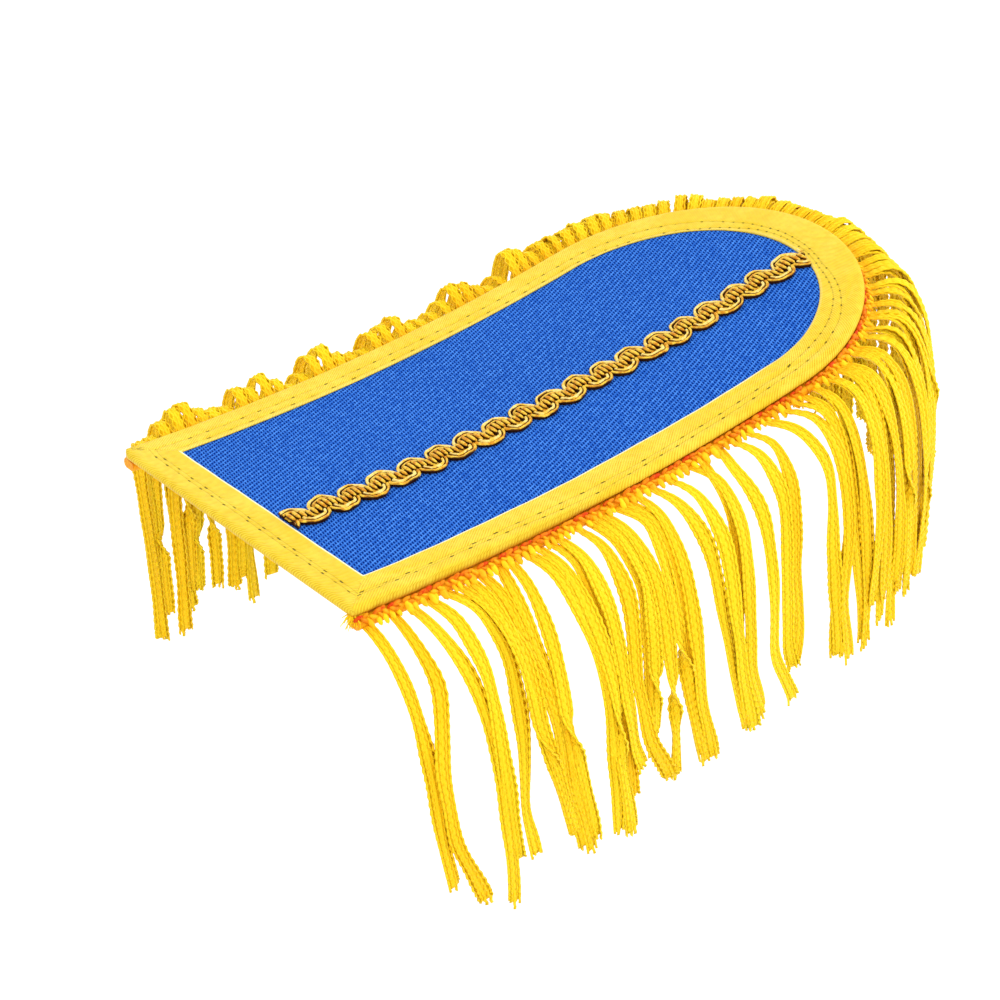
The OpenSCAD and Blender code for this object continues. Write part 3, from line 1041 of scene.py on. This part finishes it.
# %% The yarn finishes
def yarn_finish(name, bright, deep, root_shade_share):
    material, tree, shader = finish(name, 0.5, specular=0.25, gloss=(1.0, 0.9, 0.4))
    _, down, tone, _ = place_on(tree, "lay")
    place, x, y, z = place_on(tree)
    speck = ramp(tree, patchy(tree, place, 0.9 * MM), 0.4, 0.7)
    share = calc(tree, "MULTIPLY_ADD", tone, 0.8, calc(tree, "MULTIPLY", speck, 0.2))
    body = mix_colours(tree, share, bright, deep)
    # Painted shade: deep orange at the root, where the strands crowd under the header.
    root = ramp(tree, down, 0.0, root_shade_share, 0.7, 0.0)
    tree.links.new(mix_colours(tree, root, body, (0.95, 0.38, 0.004)), shader.inputs["Base Color"])
    press(tree, shader, patchy(tree, place, 0.25 * MM), 0.04 * MM)
    return material


fringe_yarn = yarn_finish("fringe_yarn", (0.93, 0.69, 0.014), (0.93, 0.54, 0.005), 0.10)

# %% [markdown]
# The near strands show best, so their courses are set down one by one, as places along
# the edge at six stations down the strand. Two that end at one place make a loop, and
# several that share a course make a clump. The strands round the tip and on the far
# side hang evenly and are left to a seeded dice.

# %% The near strands
# Columns: millimetres along the edge at the root, at the other shares of COURSE_AT and
# at the end, then the share of a lock's length at which the strand ends, and the width
# that shows.
NEAR_STRANDS = (
    (2.5, 2.2, 1.8, 0.3, -1.4, -0.9, 0.93, 3.2),
    (7.9, 7.5, 7.5, 1.8, 0.7, 5.6, 1.00, 3.2),
    (11.4, 12.3, 13.6, 13.3, 12.0, 11.0, 1.04, 2.7),
    (14.9, 16.9, 16.5, 13.9, 12.8, 13.0, 0.93, 2.1),
    (18.2, 21.9, 22.6, 19.7, 16.2, 17.3, 0.935, 3.0),
    (21.5, 23.4, 25.0, 22.6, 24.5, 26.5, 0.93, 2.6),
    (24.3, 24.8, 24.0, 22.9, 24.6, 25.5, 0.90, 2.4),
    (27.0, 27.4, 26.6, 27.2, 25.6, 28.5, 0.98, 2.8),
    (31.4, 29.6, 28.0, 28.6, 28.0, 29.6, 1.00, 2.8),
    (33.5, 32.9, 31.4, 29.0, 29.6, 30.5, 0.97, 2.4),
    (36.8, 38.9, 38.8, 38.6, 36.9, 36.0, 0.995, 2.6),
    (39.5, 40.9, 40.3, 40.0, 38.0, 39.6, 1.02, 2.4),
    (42.0, 43.5, 42.8, 41.8, 41.2, 40.3, 0.93, 2.6),
    (44.0, 45.3, 44.3, 42.2, 42.0, 44.5, 0.87, 2.6),
    (48.4, 50.0, 49.2, 45.0, 45.8, 51.3, 0.965, 2.2),
    (51.4, 53.0, 53.0, 49.7, 46.8, 46.5, 0.86, 2.4),
    (53.0, 54.3, 53.8, 50.3, 47.4, 47.0, 0.80, 2.0),
    (54.6, 56.0, 56.2, 53.8, 52.8, 51.8, 0.97, 2.0),
    (57.5, 60.9, 59.0, 57.1, 57.6, 59.3, 0.97, 2.2),
    (60.0, 62.0, 61.5, 59.6, 58.6, 60.8, 1.00, 3.0),
    (62.8, 63.6, 62.6, 60.6, 59.4, 62.8, 1.00, 2.8),
    (66.0, 68.1, 69.6, 68.7, 70.0, 73.0, 0.95, 2.6),
    (70.0, 72.3, 72.8, 71.0, 71.4, 75.0, 0.985, 2.4),
    (75.5, 78.0, 78.0, 75.6, 74.3, 78.4, 0.96, 3.0),
    (79.0, 77.3, 77.6, 73.4, 70.9, 73.5, 0.97, 2.6),
    (83.5, 81.9, 83.4, 82.3, 80.9, 88.6, 0.98, 2.2),
    (86.0, 88.2, 88.9, 86.1, 85.6, 88.0, 0.89, 1.6),
    (89.5, 92.1, 92.3, 89.6, 89.8, 87.0, 0.885, 2.0),
    (94.0, 97.5, 100.4, 98.6, 99.8, 102.0, 0.97, 2.6),
    (98.5, 102.0, 103.9, 103.7, 101.7, 105.5, 1.01, 2.8),
    (101.5, 104.5, 106.3, 106.2, 107.5, 109.3, 1.00, 2.6),
    (104.5, 105.4, 105.0, 104.6, 101.0, 101.0, 0.965, 2.4),
)
near_dice = np.random.default_rng(11)
near_strands = []
for i, row in enumerate(NEAR_STRANDS):
    near_strands.append(lay_ribbon(
        row[:6], row[6], row[7], MM * near_dice.uniform(-1.0, 1.4), near_dice.uniform(-0.5, 0.5),
        0.4 * MM, near_dice))
hang_strands("strands_near", near_strands, "fringe_near")


# %% The strands round the tip and on the far side
# Places along the edge where the strands part and the light shows between their roots.
ROOT_GAPS = np.array((107, 109.6, 112.8, 118, 123, 130, 133.7, 137, 143.8, 151))
# Within this many millimetres of the far corner the strands lean back to the tip.
CORNER_REACH = 16


def off_the_gap(root):
    """How far a root is pushed away from the nearest gap."""
    away = root - ROOT_GAPS[np.abs(ROOT_GAPS - root).argmin()]
    return math.copysign(1.0 * math.exp(-(away / 1.7) ** 2), away)


def even_strands(first, last, pitch, off, seed, uneven):
    """Strands at an even pitch that wander a little as they hang, and arch unevenly."""
    dice = np.random.default_rng(seed)
    strands = []
    count = round((last - first) / pitch)
    clump = dice.uniform(0, 6)
    for k in range(count):
        root = first + (k + 0.5) * pitch
        sway = np.cumsum(dice.uniform(-0.9, 0.9, 6)) * np.linspace(0, 1, 6)
        sway += off_the_gap(root) * np.array((1, 1, 0.5, 0, 0, 0))
        sway += (off < 0) * pitch / 2 * np.array((0, 0, 0.4, 1, 1, 1))
        corner = np.clip((root - RUN_L / MM + CORNER_REACH) / CORNER_REACH, 0, 1)
        sway -= corner * np.array((0, 2, 5, 8, 9, 9))
        arched = 1 + uneven * (0.6 * math.sin(root * 0.37 + clump) + dice.uniform(-0.5, 0.5))
        strands.append(lay_ribbon(
            root + sway, dice.uniform(0.90, 1.02), dice.uniform(2.7, 3.2),
            MM * (off + dice.uniform(-0.8, 0.8)), dice.uniform(-0.4, 0.4), 0.4 * MM, dice, arched,
            0.45 if root < ROOT_GAPS[-1] + 3 else 0.75))
    return strands


tip_first = STRAIGHT_L / MM
tip_last = (STRAIGHT_L + ARC_L) / MM
hang_strands("strands_tip", even_strands(tip_first + 1, tip_last, 2.75, 0.8, 21, 0.2), "fringe_tip")
hang_strands("strands_tip_inner", even_strands(tip_first + 1, tip_last, 2.75, -1.2, 22, 0.1), "fringe_tip")
hang_strands("strands_far", even_strands(tip_last, RUN_L / MM - 4, 3.0, 0.0, 23, 0.45), "fringe_far")

# %% [markdown]
# The strands are looped into a chain-stitched header. It is a narrow band under the
# tape's edge with three rows of stitches on its outer face: a chain tucked close under
# the tape's fold, one below it, and the bright loops that the strands grow from. It is
# yellow yarn; the red-orange of the first chain and the orange of the second and of the
# band are painted shade, deepest close under the fold. The band is a ring of points
# drawn along the edge, like the tape. A stitch is one stretched ball, copied along the
# edge, each leaning its own way.

# %% The header
# The header's yarn is yellow; its deep red is the painted shade of its rows and band.
header_yarn = yarn_finish("header_yarn", (1.0, 0.62, 0.008), (0.62, 0.035, 0.001), 0.001)
STITCH_PITCH = 1.6
# The band's section: millimetres out from the tape's edge and up from the header's top.
BAND = ((0.25, 0.10), (0.60, -0.30), (0.75, -0.90), (0.60, -1.55), (0.00, -1.90), (-2.20, -1.90),
        (-2.60, -1.55), (-2.65, -0.40), (-2.30, -0.04), (-0.60, 0.06))
# The band's depth of painted shade.
BAND_SHADE = 0.55
# Each row: how far out it lies and how far under the header's top, the size of a stitch
# along, out and up, how far it leans along the edge and outwards, and its depth of painted shade.
ROWS = (
    (0.12, -0.42, (1.00, 0.42, 0.38), 0.35, 0.0, 0.95),
    (0.50, 0.10, (1.00, 0.45, 0.34), -0.70, 0.3, 0.55),
    (1.05, 0.85, (0.60, 1.35, 0.36), 0.10, 0.8, 0.10),
)
UNEVEN = 0.28


def header_band(name, side):
    """The header's body on the near side (-1), round the tip (0) or on the far side (1)."""
    bpy.ops.mesh.primitive_circle_add(vertices=len(BAND), radius=MM, fill_type="NOTHING")
    band = started(name)
    start = SQUARE_X + 0.7 * MM if side < 0 else ROUND_X - 0.1 * MM * side
    flank = 1 if side > 0 else -1
    move_points(band, np.array([
        (start, flank * (ROUND_R + out * MM), up * MM - HEADER_TOP) for out, up in BAND]))
    bpy.ops.object.mode_set(mode="EDIT")
    bpy.ops.mesh.select_all(action="SELECT")
    if side:
        extrude_run(STRAIGHT_L - 0.8 * MM, (-side, 0, 0))
    else:
        bpy.ops.mesh.spin(
            steps=round(ARC_L / STEP), angle=-math.pi, center=(ROUND_X, 0, 0), axis=(0, 0, 1))
    bpy.ops.mesh.select_all(action="SELECT")
    bpy.ops.mesh.fill_holes(sides=0)
    bpy.ops.mesh.normals_make_consistent(inside=False)
    bpy.ops.object.mode_set(mode="OBJECT")
    lay_on_bend(band)
    write_layer(band, "lay", np.tile((0.5, BAND_SHADE), (len(band.data.loops), 1)))
    return band


def stitch_row(name, first, last, row, dice):
    """One row of stitches, copied along the edge, its tone in a UV layer."""
    outward, under, size, lean, fall, tone = row
    bpy.ops.mesh.primitive_uv_sphere_add(segments=8, ring_count=5, radius=MM)
    pattern = started("stitch")
    sides = [len(face.vertices) for face in pattern.data.polygons]
    places = []
    for k in range(int((last - first) / STITCH_PITCH)):
        s = (first + (k + 0.5 + dice.uniform(-UNEVEN, UNEVEN)) * STITCH_PITCH) * MM
        place, out = edge_frame(np.array(s))
        x, y = place + out * (outward + dice.uniform(-UNEVEN, UNEVEN) * outward) * MM
        seat = (x, y, float(bent_z(x, -HEADER_TOP - under * MM)))
        way = np.array((-out[1], out[0], lean * dice.uniform(0.2, 1.8)))
        down = np.array((*out, -fall * dice.uniform(0.4, 1.6)))
        shake = dice.uniform(1 - UNEVEN, 1 + UNEVEN)
        places.append(placed(seat, way, down, tuple(shake * each for each in size)))
    rows = copies_of(pattern, name, places)
    tones = np.repeat([tone + dice.uniform(-UNEVEN, UNEVEN) for _ in places], sum(sides))
    write_layer(rows, "lay", np.stack([np.full(len(tones), 0.5), tones], -1))
    return rows


def header_run(name, side, first, last, node, seed):
    dice = random.Random(seed)
    pieces = [header_band(name, side)]
    for shift, row in enumerate(ROWS):
        pieces.append(stitch_row(name, first + shift * STITCH_PITCH / 2, last, row, dice))
    header = joined(name, pieces)
    smooth(header, math.radians(60))
    finish_piece(header, header_yarn)
    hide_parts(node)


header_run("header_near", -1, 0.5, tip_first, "fringe_near", 3)
header_run("header_tip", 0, tip_first, tip_last, "fringe_tip", 4)
header_run("header_far", 1, tip_last, RUN_L / MM - 0.5, "fringe_far", 5)

# %% [markdown]
# Where the tape is cut and folded in at the near corner, its ends have frayed. Each
# loose fibre is a thin cone that was bent a little. The copies start inside the corner
# and spread outwards and down, long ones and short ones mixed.

# %% The frayed corner
FIBRES = 60


def frayed_corner():
    dice = random.Random(9)
    bpy.ops.mesh.primitive_cone_add(
        vertices=4, radius1=0.17 * MM, radius2=0.05 * MM, depth=MM, location=(0.5 * MM, 0, 0),
        rotation=(0, math.pi / 2, 0))
    fibre = started("fibre")
    bpy.ops.object.mode_set(mode="EDIT")
    bpy.ops.mesh.select_all(action="SELECT")
    bpy.ops.mesh.subdivide(number_cuts=3)
    bpy.ops.object.mode_set(mode="OBJECT")
    points = points_of(fibre)
    points[:, 2] -= 0.35 * MM * (points[:, 0] / MM) ** 2
    move_points(fibre, points)
    places = []
    for _ in range(FIBRES):
        turn = math.radians(dice.uniform(175, 290))
        x = SQUARE_X + dice.uniform(0.9, 2.6) * MM
        y = -ROUND_R + dice.uniform(0.9, 2.6) * MM
        way = np.array((math.cos(turn), math.sin(turn), dice.uniform(-0.9, 0.1)))
        out = np.cross((0, 0, 1), way)
        long = dice.uniform(1.6, 3.2)
        places.append(placed((x, y, float(bent_z(x, -1.3 * MM))), way, out, (long, 1, long * 0.6)))
    fibres = copies_of(fibre, "frayed_corner", places)
    tones = np.repeat([dice.uniform(0.0, 0.6) for _ in places], len(fibres.data.loops) // FIBRES)
    write_layer(fibres, "lay", np.stack([np.full(len(tones), 0.5), tones], -1))
    smooth(fibres, math.radians(60))
    finish_piece(fibres, fringe_yarn)


frayed_corner()


# %% [markdown]
# The pin stays as packed. It is plain nickelled steel, brushed along its length.

# %% The pin's finish
def steel_finish():
    material, tree, shader = finish("pin_steel", 0.32, specular=0.5)
    shader.inputs["Metallic"].default_value = 1.0
    place, x, y, z = place_on(tree)
    brush = tree.nodes.new("ShaderNodeMapping")
    brush.inputs["Scale"].default_value = (1, 14, 14)
    tree.links.new(place, brush.inputs["Vector"])
    streak = patchy(tree, brush.outputs[0], 3 * MM)
    tree.links.new(mix_colours(tree, streak, (0.60, 0.60, 0.61), (0.78, 0.78, 0.79)), shader.inputs["Base Color"])
    press(tree, shader, streak, 0.01 * MM)
    return material


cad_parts["pin"].data.materials.clear()
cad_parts["pin"].data.materials.append(steel_finish())

# %% [markdown]
# The stage is a pale floor well under the fringe and four soft lamps: a wide one
# overhead, one from the camera's left and two weak ones, beside the tip and behind. The
# surroundings are nearly white, so that the shadows stay light.

# %% Floor and lights
FLOOR_Z = -0.24


def stage_floor():
    material, tree, shader = finish("pale_floor", 0.8)
    shader.inputs["Base Color"].default_value = (0.95, 0.945, 0.94, 1)
    bpy.ops.mesh.primitive_plane_add(size=6, location=(0, 0, FLOOR_Z))
    floor = started("floor")
    floor.data.materials.append(material)


def lamp(name, place, size, power):
    """A square soft lamp that faces the epaulette."""
    data = bpy.data.lights.new(name, "AREA")
    data.size = size
    data.energy = power
    light = bpy.data.objects.new(name, data)
    bpy.context.scene.collection.objects.link(light)
    back = np.array(place) / np.linalg.norm(place)
    right = np.cross((0, 0, 1), back)
    right /= np.linalg.norm(right)
    up = np.cross(back, right)
    light.matrix_world = Matrix([
        (right[i], up[i], back[i], place[i]) for i in range(3)] + [(0, 0, 0, 1)])


stage_floor()
lamp("overhead", (0.15, 0.05, 1.0), 0.7, 3.2)
lamp("camera_left", (-0.75, -0.75, 0.65), 0.6, 4.1)
lamp("beside_the_tip", (0.9, -0.45, 0.35), 0.6, 4.5)
lamp("behind", (0.5, 0.9, 0.5), 0.6, 1.6)
world = bpy.data.worlds.new("studio")
world.use_nodes = True
world.node_tree.nodes["Background"].inputs["Color"].default_value = (1.0, 0.99, 0.98, 1)
world.node_tree.nodes["Background"].inputs["Strength"].default_value = 0.95
bpy.context.scene.world = world
